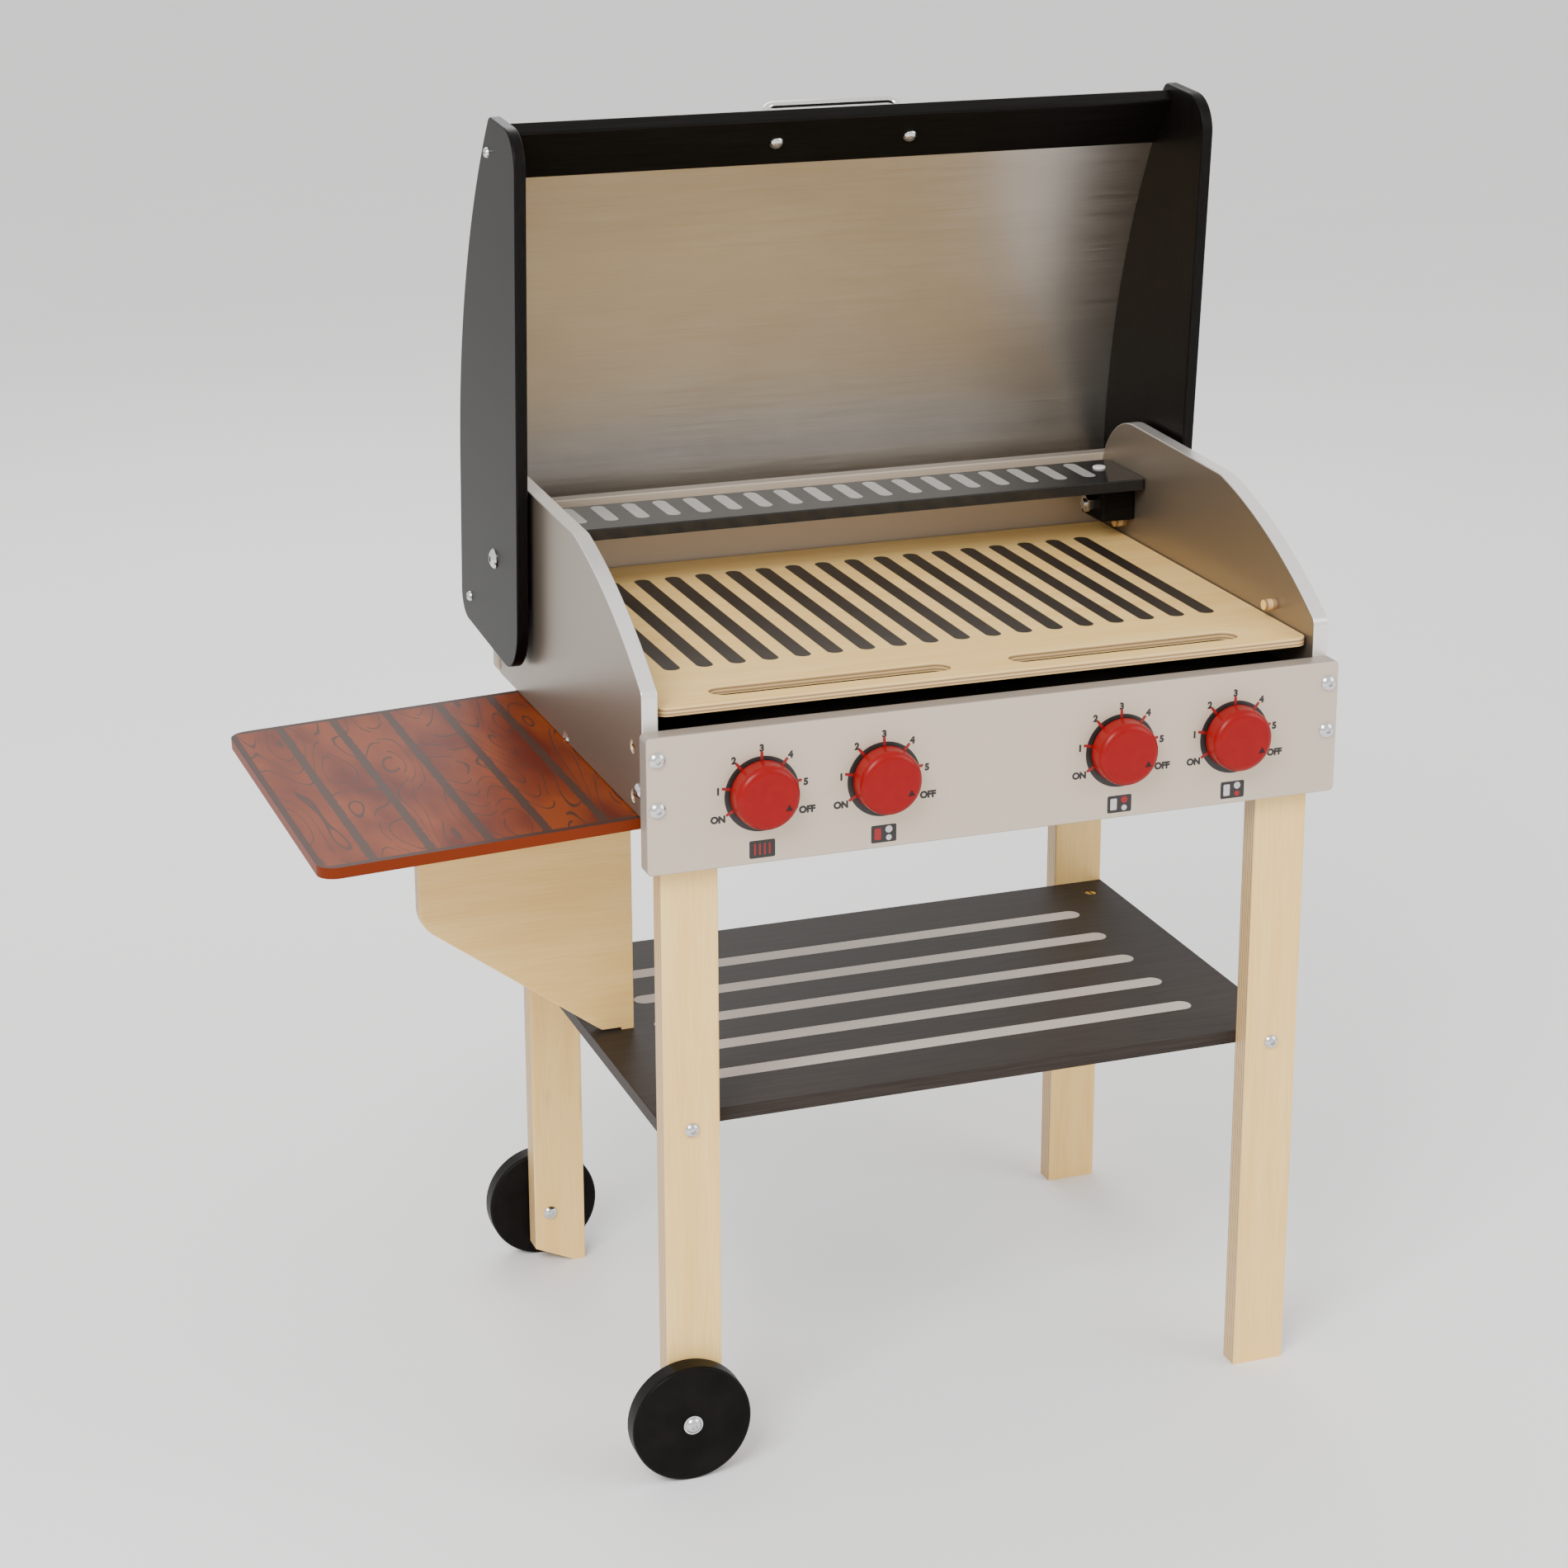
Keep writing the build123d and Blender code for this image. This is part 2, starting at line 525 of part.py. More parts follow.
# Knobs on shafts through the front panel
knob_gap = 1.6
for number, x in enumerate(knob_x, start=1):
    with BuildPart() as knob:
        # Turned profile: straight skirt, rounded rim, faintly domed face
        with BuildSketch(Plane.YZ.offset(x)):
            with BuildLine():
                y0, y1, r = -knob_gap, -knob_gap - knob_h, knob_d / 2
                Line((y0, knob_z), (y0, knob_z + r - 1))
                Line((y0, knob_z + r - 1), (y0 - 1, knob_z + r))
                Line((y0 - 1, knob_z + r), (y1 + 6, knob_z + r - 0.6))
                ThreePointArc((y1 + 6, knob_z + r - 0.6), (y1 + 1.9, knob_z + r - 2.3), (y1 + 0.4, knob_z + r - 6.5))
                ThreePointArc((y1 + 0.4, knob_z + r - 6.5), (y1 + 0.1, knob_z + 9), (y1, knob_z))
                Line((y1, knob_z), (y0, knob_z))
            make_face()
        revolve(axis=Axis((x, 0, knob_z), (0, 1, 0)))
        # Square socket for the shaft and an engraved pointer toward OFF
        with BuildSketch(Plane.XZ.offset(knob_gap)):
            with Locations((x, knob_z)):
                Rectangle(5.2, 5.2)
        extrude(amount=9, mode=Mode.SUBTRACT)
        off = radians(90 - knob_off)
        with BuildSketch(Plane.XZ.offset(knob_gap + knob_h + 1)):
            with Locations((x + 15.7 * cos(off), knob_z + 15.7 * sin(off))):
                Triangle(a=5.4, b=5.4, c=5.4, rotation=30 + 90 - knob_off + 0, align=(Align.CENTER, Align.CENTER))
        extrude(amount=-1.7, mode=Mode.SUBTRACT)
    save(knob.part, f"knob_{number}")

    with BuildPart() as shaft:
        # Square tongue in the knob, collar against the panel, round journal, threaded tail
        with BuildSketch(Plane.XZ.offset(1.5)):
            with Locations((x, knob_z)):
                Rectangle(5.1, 5.1)
        extrude(amount=8.6)
        with Locations(at(x, -0.15, knob_z, (0, -1, 0))):
            Cylinder(7.0, 1.4, align=(Align.CENTER, Align.CENTER, Align.MIN))
        with Locations(at(x, -0.15, knob_z, (0, 1, 0))):
            Cylinder(4.0, panel_t + 1.5, align=(Align.CENTER, Align.CENTER, Align.MIN))
        with Locations(at(x, panel_t + 1.0, knob_z, (0, 1, 0))):
            Cylinder(2.5, 6.5, align=(Align.CENTER, Align.CENTER, Align.MIN))
    save(shaft.part, f"knob_shaft_{number}")

    with BuildPart() as lock_nut:
        with Locations(at(x, panel_t + 1.4, knob_z, (0, 1, 0))):
            add(hex_nut(5.06, 10.0, 4.0))
    save(lock_nut.part, f"knob_lock_nut_{number}")

with BuildPart() as knob_washers:
    for x in knob_x:
        with Locations(at(x, panel_t + 0.05, knob_z, (0, 1, 0))):
            add(washer(8.1, 15.0, 1.1))
save(knob_washers.part, "knob_washers")

# Lid, drawn square as it lies when closed and turned back with its own frame.
# In that frame x runs to the rear and y up, from the pivot.
tilt = radians(-lid_open)
lid_x = (0, cos(tilt), sin(tilt))


def lid_plane(x=0.0):
    return Plane(origin=(x, pivot_y, pivot_z), x_dir=lid_x, z_dir=(1, 0, 0))


lid_front, lid_rear = -338.0, 77.0
lid_low, lid_high = -62.5, 100.5
crown_u, crown_r = -53.0, 481.0       # where the cheek's long top curve starts, and its radius
skin_u, skin_w, skin_r = -30.0, 81.0, 600.0
skin_t = 1.2
beam_t, beam_w, beam_slope = 12.0, 48.5, 34.7
beam_in = (-306.9, 5.5)               # middle of the beam's inner face
beam_n = (-sin(radians(beam_slope)), cos(radians(beam_slope)))
beam_mid = (beam_in[0] + beam_n[0] * beam_t / 2, beam_in[1] + beam_n[1] * beam_t / 2)
rail_u0, rail_w0, rail_h = 49.0, 56.0, 34.0


def skin_section(grow=0.0, reach=0.0):
    """Sheet section: flat at the rear, one long arc to the front; grown for its grooves."""
    u0, u1 = -289.5 - reach, rail_u0 + 4 + reach
    c = skin_w - skin_r
    inner, outer = skin_r - grow, skin_r + skin_t + grow

    def on_arc(r, u):
        return (u, c + sqrt(r * r - (u - skin_u) ** 2))

    with BuildSketch() as section:
        with BuildLine():
            ThreePointArc(on_arc(inner, u0), on_arc(inner, (u0 + skin_u) / 2), on_arc(inner, skin_u))
            Polyline((skin_u, c + inner), (u1, c + inner), (u1, c + outer), (skin_u, c + outer))
            ThreePointArc(on_arc(outer, skin_u), on_arc(outer, (u0 + skin_u) / 2), on_arc(outer, u0))
            Line(on_arc(outer, u0), on_arc(inner, u0))
        make_face()
    return section.sketch


def lid_cheek(side):
    """Lid side: square at the rear, crowned towards the front, with the skin's groove inside."""
    front_w = lid_high - crown_r + sqrt(crown_r ** 2 - (lid_front - crown_u) ** 2)
    mid_u = (lid_front + crown_u) / 2
    mid_w = lid_high - crown_r + sqrt(crown_r ** 2 - (mid_u - crown_u) ** 2)
    with BuildPart() as cheek:
        with BuildSketch(lid_plane(side * cheek_x)):
            with BuildLine():
                Polyline((crown_u, lid_high), (lid_rear, lid_high), (lid_rear, lid_low),
                         (lid_front, lid_low), (lid_front, front_w))
                ThreePointArc((lid_front, front_w), (mid_u, mid_w), (crown_u, lid_high))
            make_face()
        extrude(amount=side * cheek_t)
        across = lid_plane()

        def local(e):
            return across.to_local_coords(e.center())

        for u, w, r in ((lid_rear, lid_high, 20), (lid_rear, lid_low, 38),
                        (lid_front, lid_low, 28), (lid_front, front_w, 9)):
            fillet(cheek.edges().filter_by(Axis.X).sort_by(
                lambda e: (local(e).X - u) ** 2 + (local(e).Y - w) ** 2)[0], r)
        fillet(cheek.faces().filter_by(Axis.X).edges(), 1.5)
        with BuildSketch(lid_plane(side * cheek_x)):
            add(skin_section(grow=0.2, reach=1))
        extrude(amount=side * 3, mode=Mode.SUBTRACT)
        with Locations(at(side * cheek_x, pivot_y, pivot_z, (1, 0, 0))):
            Cylinder(4.05, 4 * cheek_t, mode=Mode.SUBTRACT)
        for u, w in (beam_mid, (rail_u0 + 6, rail_w0 + rail_h / 2)):
            spot = lid_plane(side * cheek_x).from_local_coords(Vector(u, w, 0))
            with Locations(at(spot.X, spot.Y, spot.Z, (1, 0, 0))):
                Cylinder(2.1, 4 * cheek_t, mode=Mode.SUBTRACT)
    return cheek.part


save(lid_cheek(-1), "lid_cheek_left")
save(lid_cheek(1), "lid_cheek_right")

with BuildPart() as lid_skin:
    with BuildSketch(lid_plane()):
        add(skin_section())
    extrude(amount=cheek_x + 2.6, both=True)
save(lid_skin.part, "lid_skin")

beam_frame = lid_plane()
beam_u = (cos(radians(beam_slope)), sin(radians(beam_slope)))
with BuildPart() as lid_beam:
    with BuildSketch(lid_plane()):
        with Locations(Location((*beam_mid, 0), (0, 0, beam_slope))):
            RectangleRounded(beam_w, beam_t, 2)
    extrude(amount=cheek_x - 0.1, both=True)
    with BuildSketch(lid_plane()):
        add(skin_section(grow=0.2, reach=0.6))
    extrude(amount=cheek_x + 5, both=True, mode=Mode.SUBTRACT)
    for side in (-1, 1):
        hole = lid_plane(side * cheek_x).from_local_coords(Vector(*beam_mid, 0))
        with Locations(at(hole.X, hole.Y, hole.Z, (1, 0, 0))):
            Cylinder(2.1, 52, mode=Mode.SUBTRACT)
        seat = lid_plane(side * handle_pitch / 2).from_local_coords(Vector(*beam_mid, 0))
        normal = lid_plane().from_local_coords(Vector(*beam_n, 0)) - Vector(0, pivot_y, pivot_z)
        with Locations(at(seat.X, seat.Y, seat.Z, normal)):
            Cylinder(2.2, 30, mode=Mode.SUBTRACT)
save(lid_beam.part, "lid_beam")

with BuildPart() as lid_rail:
    with BuildSketch(lid_plane()):
        with Locations((rail_u0 + 6, rail_w0 + rail_h / 2)):
            RectangleRounded(12, rail_h, 1.5)
    extrude(amount=cheek_x - 0.1, both=True)
    with BuildSketch(lid_plane()):
        add(skin_section(grow=0.2, reach=0.6))
    extrude(amount=cheek_x + 5, both=True, mode=Mode.SUBTRACT)
    for side in (-1, 1):
        hole = lid_plane(side * cheek_x).from_local_coords(Vector(rail_u0 + 6, rail_w0 + rail_h / 2, 0))
        with Locations(at(hole.X, hole.Y, hole.Z, (1, 0, 0))):
            Cylinder(2.1, 52, mode=Mode.SUBTRACT)
save(lid_rail.part, "lid_rail")

# Handle: one bent wire whose plane stands square on the beam's outer face
normal = lid_plane().from_local_coords(Vector(*beam_n, 0)) - Vector(0, pivot_y, pivot_z)
foot = lid_plane().from_local_coords(
    Vector(beam_in[0] + beam_n[0] * (beam_t + 0.05), beam_in[1] + beam_n[1] * (beam_t + 0.05), 0))
with BuildPart() as lid_handle:
    bow = Plane(origin=foot, x_dir=(1, 0, 0), z_dir=Vector(1, 0, 0).cross(normal))
    half = handle_pitch / 2
    with BuildLine(bow) as path:
        Line((-half, 0), (-half, handle_rise - 8))
        RadiusArc((-half, handle_rise - 8), (-half + 8, handle_rise), 8)
        Line((-half + 8, handle_rise), (half - 8, handle_rise))
        RadiusArc((half - 8, handle_rise), (half, handle_rise - 8), 8)
        Line((half, handle_rise - 8), (half, 0))
    with BuildSketch(Plane(origin=path.line @ 0, z_dir=path.line % 0)):
        Circle(handle_d / 2)
    sweep()
    for side in (-1, 1):
        with Locations(at(side * half, foot.Y, foot.Z, normal)):
            Cylinder(2.05, 24, mode=Mode.SUBTRACT)
save(lid_handle.part, "lid_handle")

with BuildPart() as handle_bolts:
    seat = lid_plane().from_local_coords(Vector(*beam_in, 0))
    for side in (-1, 1):
        with Locations(at(side * half, seat.Y, seat.Z, normal * -1)):
            add(button_bolt(beam_t + 11, d=4.0, head_d=11.0, head_h=3.0, socket=3.0))
save(handle_bolts.part, "handle_bolts")

with BuildPart() as lid_screws:
    for side in (-1, 1):
        for u, w in (beam_mid, (rail_u0 + 6, rail_w0 + rail_h / 2)):
            spot = lid_plane(side * (cheek_x + cheek_t)).from_local_coords(Vector(u, w, 0))
            with Locations(at(spot.X, spot.Y, spot.Z, (side, 0, 0))):
                add(pan_screw(32))
save(lid_screws.part, "lid_screws")

with BuildPart() as pivot_bolts:
    for side in (-1, 1):
        with Locations(at(side * (cheek_x + cheek_t + 0.1), pivot_y, pivot_z, (side, 0, 0))):
            add(button_bolt(cheek_t + 5 + plate_t + block_w + 8, d=8.0, head_d=15.5, head_h=3.6, socket=5.0))
save(pivot_bolts.part, "pivot_bolts")

with BuildPart() as pivot_spacers:
    for side in (-1, 1):
        with Locations(at(side * (plate_x + 0.05), pivot_y, pivot_z, (side, 0, 0))):
            add(washer(8.1, 20.0, cheek_x - plate_x - 0.15))
save(pivot_spacers.part, "pivot_spacers")

with BuildPart() as pivot_nuts:
    for side in (-1, 1):
        with Locations(at(side * (plate_in - block_w - 0.05), pivot_y, pivot_z, (-side, 0, 0))):
            add(hex_nut(8.06, 13.0, 6.0))
save(pivot_nuts.part, "pivot_nuts")

print(len(made), "nodes;", sum(count for _, count in made), "solids")
for node, count in made:
    if count != 1:
        print("  ", node, count, "solids")
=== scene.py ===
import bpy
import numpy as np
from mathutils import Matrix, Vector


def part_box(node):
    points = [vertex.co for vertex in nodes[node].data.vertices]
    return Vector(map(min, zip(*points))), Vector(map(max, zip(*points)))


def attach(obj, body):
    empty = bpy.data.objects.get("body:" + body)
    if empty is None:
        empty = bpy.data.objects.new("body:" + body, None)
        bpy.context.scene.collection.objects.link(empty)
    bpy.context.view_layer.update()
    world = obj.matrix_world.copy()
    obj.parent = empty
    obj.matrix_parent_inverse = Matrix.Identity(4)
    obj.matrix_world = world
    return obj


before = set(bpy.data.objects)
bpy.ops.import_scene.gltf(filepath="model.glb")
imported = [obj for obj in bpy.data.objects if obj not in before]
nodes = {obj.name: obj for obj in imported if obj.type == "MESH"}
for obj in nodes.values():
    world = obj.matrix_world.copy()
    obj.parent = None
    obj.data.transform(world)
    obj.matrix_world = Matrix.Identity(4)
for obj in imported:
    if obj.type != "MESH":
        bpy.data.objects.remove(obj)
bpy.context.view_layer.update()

# %% [markdown]
# A toy barbecue grill of painted and lacquered boards. The solids are already right, so most of
# this lesson is about surfaces: how paint, plywood, print and brushed steel differ, and how each
# can be worked out from the place of a point on the piece instead of from a picture.

panel_low, panel_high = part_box("front_panel")
MM = 0.001
ALONG_X, ALONG_Y, ALONG_Z = 0, 1, 2
box_mid = (panel_low[0] + panel_high[0]) / 2
face_y = panel_low[1]
print("front panel", round((panel_high[0] - panel_low[0]) / MM, 1), "mm wide")

# %% [markdown]
# A camera that was fitted to the edges of the box gives the place, the direction and the lens.
# The optical centre is not the middle of the picture, which is what the two shifts are for.

# %% Camera
CAMERA_PLACE = (-0.8300, -2.3441, 1.3011)
CAMERA_LOOKS = (0.3323, 0.8960, -0.2944)
SENSOR_MM, LENS_MM = 36.0, 79.53
SHIFT_X, SHIFT_Y = -0.0197, -0.0688

camera_data = bpy.data.cameras.new("camera")
camera = bpy.data.objects.new("camera", camera_data)
bpy.context.scene.collection.objects.link(camera)
bpy.context.scene.camera = camera
camera.location = CAMERA_PLACE
camera.rotation_euler = Vector(CAMERA_LOOKS).to_track_quat("-Z", "Y").to_euler()
camera_data.sensor_width = SENSOR_MM
camera_data.lens = LENS_MM
camera_data.shift_x = SHIFT_X
camera_data.shift_y = SHIFT_Y
print("camera at", tuple(round(v, 3) for v in camera.location))

# %% [markdown]
# Every finish starts from millimetres on the piece, counted from the middle of the box, the face
# of the front panel and the floor. Object coordinates turn with a piece, so a stripe stays put
# when the lid closes or the board slides.

# %% Wiring helpers
COAT_ROUGHNESS = 0.08


def feed(tree, value, socket):
    """Link a socket to another, or set it to a number or colour."""
    if isinstance(value, bpy.types.NodeSocket):
        tree.links.new(value, socket)
    else:
        socket.default_value = value


def calc(tree, operation, a, b=0.0):
    """One Math node: operation(a, b)."""
    node = tree.nodes.new("ShaderNodeMath")
    node.operation = operation
    feed(tree, a, node.inputs[0])
    feed(tree, b, node.inputs[1])
    return node.outputs[0]


def blend_colour(tree, amount, a, b):
    """a where amount is 0, b where it is 1."""
    node = tree.nodes.new("ShaderNodeMix")
    node.data_type = "RGBA"
    feed(tree, amount, node.inputs["Factor"])
    feed(tree, a, node.inputs["A"])
    feed(tree, b, node.inputs["B"])
    return node.outputs["Result"]


def spread(tree, value, low, high, to_low=0.0, to_high=1.0):
    """Map low..high to to_low..to_high and hold it there."""
    node = tree.nodes.new("ShaderNodeMapRange")
    node.inputs["From Min"].default_value = low
    node.inputs["From Max"].default_value = high
    node.inputs["To Min"].default_value = to_low
    node.inputs["To Max"].default_value = to_high
    feed(tree, value, node.inputs["Value"])
    return node.outputs["Result"]


def millimetres(tree):
    """X, Y, Z sockets in millimetres from the box middle, the panel face and the floor."""
    place = tree.nodes.new("ShaderNodeTexCoord")
    shift = tree.nodes.new("ShaderNodeVectorMath")
    shift.operation = "SUBTRACT"
    shift.inputs[1].default_value = (box_mid, face_y, 0.0)
    tree.links.new(place.outputs["Object"], shift.inputs[0])
    grow = tree.nodes.new("ShaderNodeVectorMath")
    grow.operation = "SCALE"
    grow.inputs["Scale"].default_value = 1 / MM
    tree.links.new(shift.outputs[0], grow.inputs[0])
    parts = tree.nodes.new("ShaderNodeSeparateXYZ")
    tree.links.new(grow.outputs[0], parts.inputs[0])
    return parts.outputs[0], parts.outputs[1], parts.outputs[2]


def facing(tree, axis):
    """How squarely the surface faces along an axis of the piece, with its sign."""
    place = tree.nodes.new("ShaderNodeTexCoord")
    parts = tree.nodes.new("ShaderNodeSeparateXYZ")
    tree.links.new(place.outputs["Normal"], parts.inputs[0])
    return parts.outputs[axis]


def speckle(tree, xyz, sizes, detail=2.0, seed=0.0):
    """Noise whose grains are about sizes = (x, y, z) millimetres long."""
    join = tree.nodes.new("ShaderNodeCombineXYZ")
    for socket, value, size in zip(join.inputs, xyz, sizes):
        feed(tree, calc(tree, "MULTIPLY", value, 1 / size), socket)
    noise = tree.nodes.new("ShaderNodeTexNoise")
    noise.noise_dimensions = "4D"
    noise.inputs["W"].default_value = seed
    noise.inputs["Scale"].default_value = 1.0
    noise.inputs["Detail"].default_value = detail
    tree.links.new(join.outputs[0], noise.inputs["Vector"])
    return noise.outputs["Fac"]


def raise_surface(tree, shader, height, depth_mm, strength=1.0):
    """Bump from a 0..1 height that stands depth_mm proud."""
    bump = tree.nodes.new("ShaderNodeBump")
    bump.inputs["Strength"].default_value = strength
    bump.inputs["Distance"].default_value = depth_mm * MM
    tree.links.new(height, bump.inputs["Height"])
    tree.links.new(bump.outputs[0], shader.inputs["Normal"])


def new_finish(name, roughness, metallic=0.0, coat=0.0, gloss=0.5):
    """A material with its own plain numbers set on the shader."""
    material = bpy.data.materials.new(name)
    material.use_nodes = True
    shader = material.node_tree.nodes["Principled BSDF"]
    shader.inputs["Roughness"].default_value = roughness
    shader.inputs["Metallic"].default_value = metallic
    shader.inputs["Coat Weight"].default_value = coat
    shader.inputs["Coat Roughness"].default_value = COAT_ROUGHNESS
    shader.inputs["Specular IOR Level"].default_value = gloss
    return material, material.node_tree, shader


def paint(material, *names):
    """Give a finish to carried-over solids."""
    for name in names:
        for place in nodes[name].material_slots:
            place.material = material
    print(material.name, "on", len(names), "pieces")


def capsule(tree, across, along, half_length, radius, soft=0.25):
    """1 inside a round-ended stripe: distance to its middle line against its radius."""
    past = calc(tree, "MAXIMUM", calc(tree, "SUBTRACT", calc(tree, "ABSOLUTE", along), half_length), 0.0)
    far = calc(tree, "SQRT", calc(tree, "ADD", calc(tree, "MULTIPLY", across, across),
                                  calc(tree, "MULTIPLY", past, past)))
    return spread(tree, far, radius - soft, radius + soft, 1.0, 0.0)


def nearest_stripe(tree, value, pitch):
    """Distance to the nearest of a row of stripes that starts half a pitch from 0."""
    return calc(tree, "SUBTRACT", calc(tree, "FLOORED_MODULO", value, pitch), pitch / 2)


print("millimetres are counted from x", round(box_mid / MM, 2), "y", round(face_y / MM, 2))

# %% [markdown]
# Silver paint on board is not a mirror. Fine flakes give it a grain, and the spray leaves a faint
# orange peel. The panels' rims carry painted shade, darker than their faces. The side plates carry
# the same paint set darker on their faces as painted shade, and a painted highlight on their rounded rims.

# %% Silver paint


def silver(name, face, rim, roughness, metallic, face_axis):
    """Flaked paint: one colour on the board's face, and towards the rim, where it turns away, a painted rim
    colour: a painted highlight when lighter, painted shade when darker.
    """
    material, tree, shader = new_finish(name, roughness, metallic)
    xyz = millimetres(tree)
    flakes = spread(tree, speckle(tree, xyz, (0.5, 0.5, 0.5), 3.0), 0.35, 0.65, 0.94, 1.06)
    # Painted light: towards the rim the colour goes to the rim colour, painted shade on the panels and a
    # painted highlight on the side plates.
    painted_rim_light = spread(tree, calc(tree, "ABSOLUTE", facing(tree, face_axis)), 0.55, 0.98, 1.0, 0.0)
    base = blend_colour(tree, painted_rim_light, face, rim)
    scaled = tree.nodes.new("ShaderNodeVectorMath")
    scaled.operation = "SCALE"
    tree.links.new(base, scaled.inputs[0])
    tree.links.new(flakes, scaled.inputs["Scale"])
    tree.links.new(scaled.outputs[0], shader.inputs["Base Color"])
    raise_surface(tree, shader, speckle(tree, xyz, (1.3, 1.3, 1.3), 2.0, 4.0), 0.05, 0.5)
    return material


# Panels: own face colour, painted shade on the rims. Side plates: the same paint darkened on the faces as
# painted shade, with a painted highlight on the rims.
paint(silver("panel_silver_rim_shade", (0.56, 0.465, 0.36, 1), (0.33, 0.28, 0.235, 1), 0.42, 0.35, ALONG_Y),
      "front_panel", "back_panel")
paint(silver("plate_silver_shade_and_highlight", (0.27, 0.222, 0.172, 1), (0.84, 0.81, 0.77, 1), 0.34, 0.75, ALONG_X),
      "side_plate_left", "side_plate_right")

# %% [markdown]
# Plywood shows long pale figure on its faces and its layers on its edges. Which one a point shows
# depends only on whether it faces along the board's thickness.

# %% Birch plywood
PALE, WARM = (0.95, 0.645, 0.235, 1), (0.84, 0.51, 0.145, 1)
LAYER_PALE, LAYER_DARK = (0.74, 0.51, 0.24, 1), (0.36, 0.21, 0.085, 1)
VEIN_BROWN = (0.30, 0.19, 0.10, 1)
VEIN_STRENGTH = 0.8


def birch(name, thick_axis, grain_axis, layer_mm, seed=0.0, streak=0.0):
    """Faces: noise drawn out along the grain. Edges: layers counted through the thickness."""
    material, tree, shader = new_finish(name, 0.46, 0.0, 0.08)
    xyz = millimetres(tree)
    fine = [1.1, 1.1, 1.1]
    broad = [16.0, 16.0, 16.0]
    fine[grain_axis], broad[grain_axis] = 45.0, 190.0
    figure = calc(tree, "ADD", calc(tree, "MULTIPLY", speckle(tree, xyz, fine, 3.0, seed), 0.45),
                  calc(tree, "MULTIPLY", speckle(tree, xyz, broad, 4.0, seed + 3), 0.55))
    face = blend_colour(tree, spread(tree, figure, 0.40, 0.68), PALE, WARM)
    if streak:
        vein = spread(tree, speckle(tree, xyz, broad, 5.0, seed + 9), 0.60, 0.72, 0.0, streak)
        face = blend_colour(tree, vein, face, VEIN_BROWN)
    turn = calc(tree, "SINE", calc(tree, "MULTIPLY", xyz[thick_axis], np.pi / layer_mm))
    layers = blend_colour(tree, spread(tree, turn, -0.25, 0.25), LAYER_PALE, LAYER_DARK)
    on_edge = spread(tree, calc(tree, "ABSOLUTE", facing(tree, thick_axis)), 0.45, 0.65, 1.0, 0.0)
    tree.links.new(blend_colour(tree, on_edge, face, layers), shader.inputs["Base Color"])
    raise_surface(tree, shader, speckle(tree, xyz, fine, 2.0, seed + 1), 0.05, 0.35)
    return material, tree, shader, xyz


legs = ("leg_front_left", "leg_front_right", "leg_rear_left", "leg_rear_right")
for number, leg in enumerate(legs):
    vein_here = VEIN_STRENGTH if leg == "leg_rear_left" else 0.0
    paint(birch(f"birch_{leg}", ALONG_Y, ALONG_Z, 1.4, number * 7.0, vein_here)[0], leg)
paint(birch("birch_bracket", ALONG_Y, ALONG_X, 1.33, 31.0)[0], "table_bracket")
paint(birch("birch_pegs", ALONG_X, ALONG_X, 4.0, 37.0)[0], "grate_pegs")

# %% [markdown]
# The cooking board, shelf and rack carry stripes that are printed, not cut. One round-ended stripe
# is a distance to a line; a row of them is the same stripe with its coordinate wrapped round.

# %% Printed stripes
GRATE_PITCH, SHELF_PITCH, RACK_PITCH = 24.8, 51.6, 25.0
STRIPES_EACH_SIDE = 9
GRATE_MID_Y, SHELF_MID_Y, RACK_MID_Y = 221.5, 195.0, 344.0
SHELF_FIRST_Y, SHELF_REACH = 66.0, 129.0


def on_top(tree, mask):
    """Keep a print to the upper face."""
    return calc(tree, "MULTIPLY", mask, spread(tree, facing(tree, ALONG_Z), 0.8, 0.95))


def within(tree, value, reach):
    """1 where a distance from the middle is below reach, so a row of stripes comes to an end."""
    return spread(tree, calc(tree, "ABSOLUTE", value), reach - 0.1, reach + 0.1, 1.0, 0.0)


grate_print, tree, shader, (x, y, z) = birch("birch_cooking_board", ALONG_Z, ALONG_X, 1.3, 43.0)
wood = shader.inputs["Base Color"].links[0].from_socket
stripes = capsule(tree, nearest_stripe(tree, x, GRATE_PITCH),
                  calc(tree, "SUBTRACT", y, GRATE_MID_Y), 112.2, 6.25)
stripes = calc(tree, "MULTIPLY", stripes, within(tree, x, STRIPES_EACH_SIDE * GRATE_PITCH))
printed = blend_colour(tree, on_top(tree, stripes), wood, (0.022, 0.016, 0.012, 1))
tree.links.new(printed, shader.inputs["Base Color"])
paint(grate_print, "grate_board")

shelf_print, tree, shader = new_finish("charcoal_shelf", 0.46, 0.0, 0.0, 0.09)
x, y, z = millimetres(tree)
stripes = capsule(tree, nearest_stripe(tree, calc(tree, "SUBTRACT", y, SHELF_FIRST_Y), SHELF_PITCH),
                  x, 192.0, 8.0)
stripes = calc(tree, "MULTIPLY", stripes,
               within(tree, calc(tree, "SUBTRACT", y, SHELF_MID_Y), SHELF_REACH))
dusty = speckle(tree, (x, y, z), (40.0, 1.2, 1.2), 3.0)
ground = blend_colour(tree, spread(tree, dusty, 0.3, 0.7),
                      (0.026, 0.020, 0.017, 1), (0.042, 0.033, 0.028, 1))
tree.links.new(blend_colour(tree, on_top(tree, stripes), ground, (0.56, 0.49, 0.43, 1)),
               shader.inputs["Base Color"])
raise_surface(tree, shader, dusty, 0.04, 0.4)
paint(shelf_print, "shelf")

